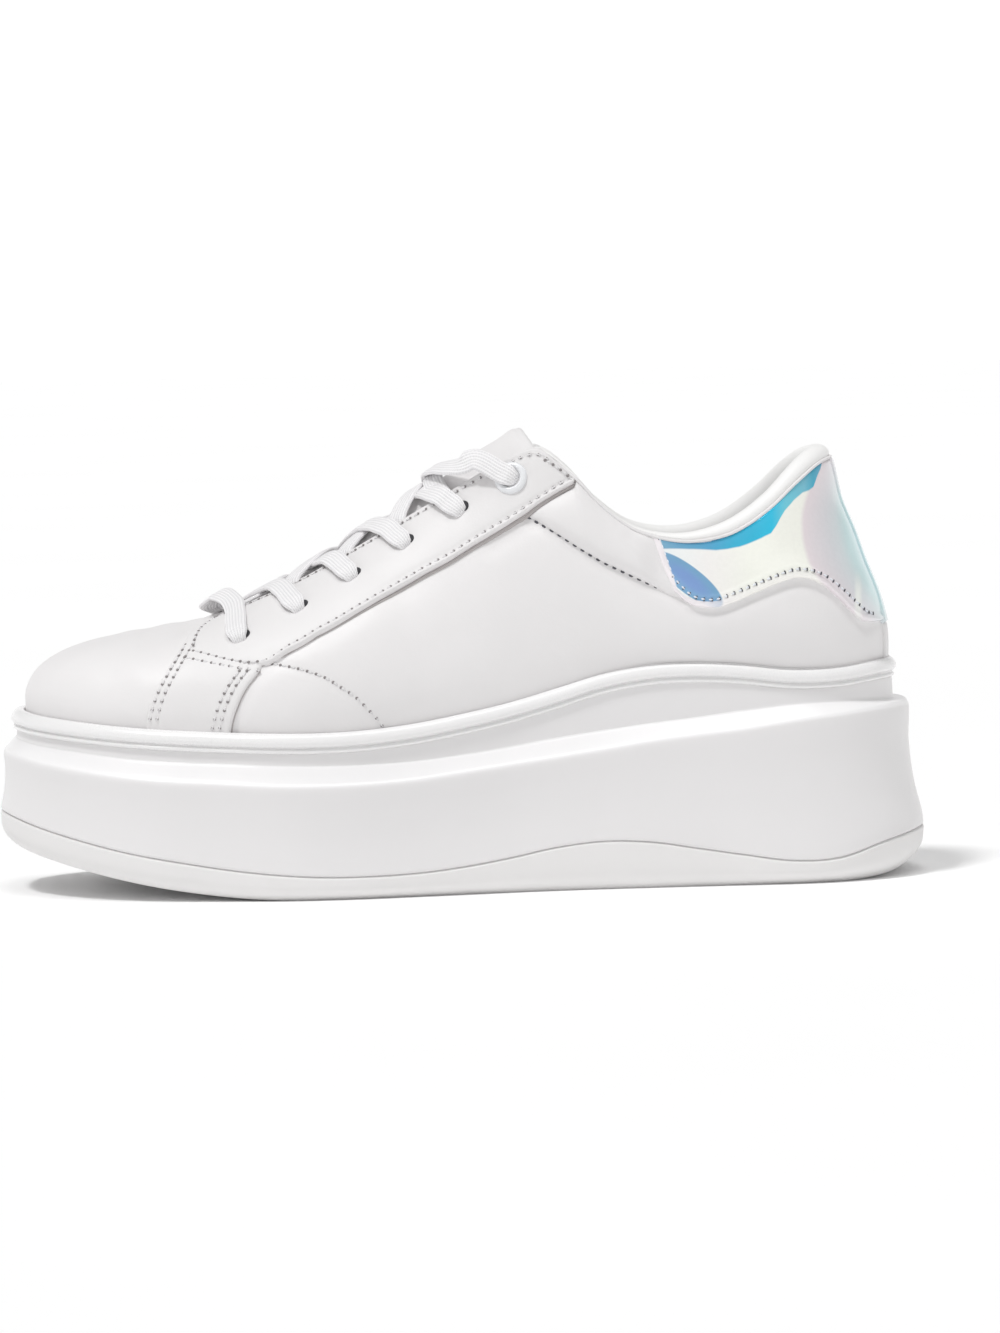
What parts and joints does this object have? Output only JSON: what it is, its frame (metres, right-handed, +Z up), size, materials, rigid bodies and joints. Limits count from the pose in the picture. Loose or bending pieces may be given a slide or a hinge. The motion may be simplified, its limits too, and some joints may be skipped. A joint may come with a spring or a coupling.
{
  "type": "platform sneaker",
  "caption": "Low lace-up sneaker on a thick platform sole, white, with a rolled rail above the sole and a glossy pearly tab round the heel.",
  "frame": {"origin": "on the floor, under the middle of the shoe's box", "axes": "+X towards the toe, +Y towards the outer (lateral) side, +Z up"},
  "size_m": [0.2802, 0.1022, 0.1368],
  "materials": {
    "sole_rubber": "matte white moulded rubber",
    "sole_foam": "smooth white moulded foam, satin",
    "rail_gloss": "glossy white",
    "lining": "soft white lining",
    "upper_leather": "smooth white coated leather",
    "heel_foil": "mirror-like pearly film",
    "eyelet_plastic": "glossy white",
    "lace_fabric": "flat woven white lace"
  },
  "bodies": {
    "root": {"outsole": "sole_rubber", "midsole": "sole_foam", "rail": "rail_gloss", "insole": "lining", "upper": "upper_leather", "tongue": "upper_leather", "heel_tab": "heel_foil", "eyestay_outer": "upper_leather", "eyestay_inner": "upper_leather", "eyelet_outer": "eyelet_plastic", "eyelet_inner": "eyelet_plastic", "lace_bar": "lace_fabric", "lace_crossing_1": "lace_fabric", "lace_crossing_2": "lace_fabric", "lace_crossing_3": "lace_fabric", "lace_crossing_4": "lace_fabric", "lace_crossing_5": "lace_fabric"}
  },
  "joints": []
}
